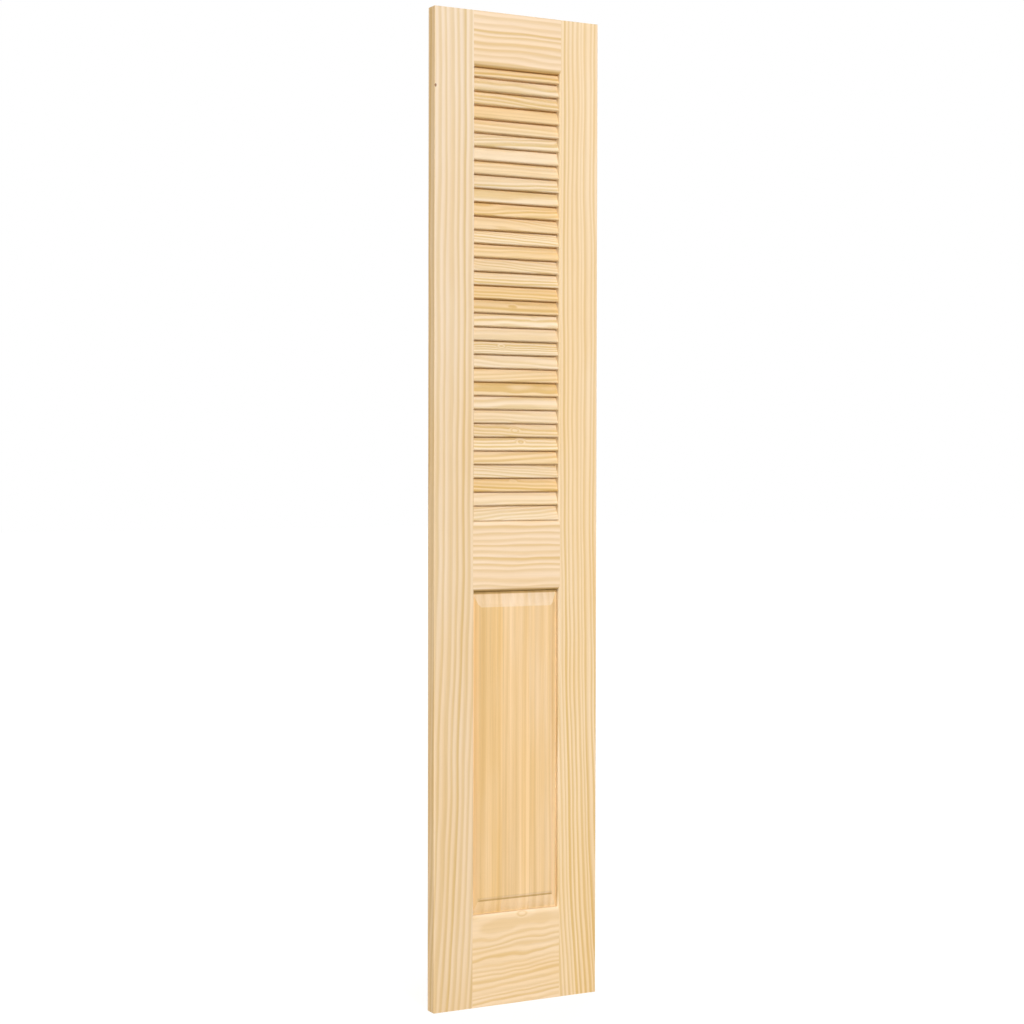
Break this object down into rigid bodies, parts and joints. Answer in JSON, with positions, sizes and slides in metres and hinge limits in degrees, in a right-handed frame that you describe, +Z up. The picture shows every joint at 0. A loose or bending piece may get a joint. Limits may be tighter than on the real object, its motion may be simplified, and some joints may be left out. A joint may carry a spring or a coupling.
{
  "type": "bifold closet door",
  "caption": "Pair of hinged pine closet door leaves that fold on top and bottom pivots, each with louvre slats above a raised panel in a stile and rail frame.",
  "frame": {"origin": "mouth of the bottom pivot bore, in the lower end of the jamb leaf's pivot stile", "axes": "+Z up, the pivot axis; +X along the jamb leaf towards the hinges; +Y from the jamb leaf's room face to its closet face"},
  "size_m": [0.4019, 0.3643, 2.007],
  "materials": {
    "pine_stile": "unfinished, sanded",
    "pine_rail": "unfinished, sanded",
    "pine_slat": "unfinished, sanded",
    "pine_panel": "unfinished, sanded",
    "hinge_steel": "bright zinc"
  },
  "bodies": {
    "jamb_leaf": {"jamb_leaf_pivot_stile": "pine_stile", "jamb_leaf_hinge_stile": "pine_stile", "jamb_leaf_panel": "pine_panel", "jamb_leaf_bottom_rail": "pine_rail", "jamb_leaf_middle_rail": "pine_rail", "jamb_leaf_top_rail": "pine_rail", "jamb_leaf_slat_01": "pine_slat", "jamb_leaf_slat_02": "pine_slat", "jamb_leaf_slat_03": "pine_slat", "jamb_leaf_slat_04": "pine_slat", "jamb_leaf_slat_05": "pine_slat", "jamb_leaf_slat_06": "pine_slat", "jamb_leaf_slat_07": "pine_slat", "jamb_leaf_slat_08": "pine_slat", "jamb_leaf_slat_09": "pine_slat", "jamb_leaf_slat_10": "pine_slat", "jamb_leaf_slat_11": "pine_slat", "jamb_leaf_slat_12": "pine_slat", "jamb_leaf_slat_13": "pine_slat", "jamb_leaf_slat_14": "pine_slat", "jamb_leaf_slat_15": "pine_slat", "jamb_leaf_slat_16": "pine_slat", "jamb_leaf_slat_17": "pine_slat", "jamb_leaf_slat_18": "pine_slat", "jamb_leaf_slat_19": "pine_slat", "jamb_leaf_slat_20": "pine_slat", "jamb_leaf_slat_21": "pine_slat", "jamb_leaf_slat_22": "pine_slat", "jamb_leaf_slat_23": "pine_slat", "jamb_leaf_slat_24": "pine_slat", "jamb_leaf_slat_25": "pine_slat", "jamb_leaf_slat_26": "pine_slat", "jamb_leaf_slat_27": "pine_slat", "jamb_leaf_slat_28": "pine_slat", "jamb_leaf_slat_29": "pine_slat", "jamb_leaf_slat_30": "pine_slat", "jamb_leaf_slat_31": "pine_slat", "jamb_leaf_slat_32": "pine_slat", "jamb_leaf_slat_33": "pine_slat", "lower_hinge_jamb_plate": "hinge_steel", "middle_hinge_jamb_plate": "hinge_steel", "upper_hinge_jamb_plate": "hinge_steel", "lower_hinge_pin": "hinge_steel", "middle_hinge_pin": "hinge_steel", "upper_hinge_pin": "hinge_steel"},
    "lead_leaf": {"lead_leaf_guide_stile": "pine_stile", "lead_leaf_hinge_stile": "pine_stile", "lead_leaf_panel": "pine_panel", "lead_leaf_bottom_rail": "pine_rail", "lead_leaf_middle_rail": "pine_rail", "lead_leaf_top_rail": "pine_rail", "lead_leaf_slats": "pine_slat", "lower_hinge_lead_plate": "hinge_steel", "middle_hinge_lead_plate": "hinge_steel", "upper_hinge_lead_plate": "hinge_steel"}
  },
  "joints": [
    {"name": "fold", "type": "hinge", "parent": "jamb_leaf", "child": "lead_leaf", "pos_m": [0.3545, 0.01745, 1], "axis": [0, 0, -1], "range_deg": [-57, 123]}
  ]
}
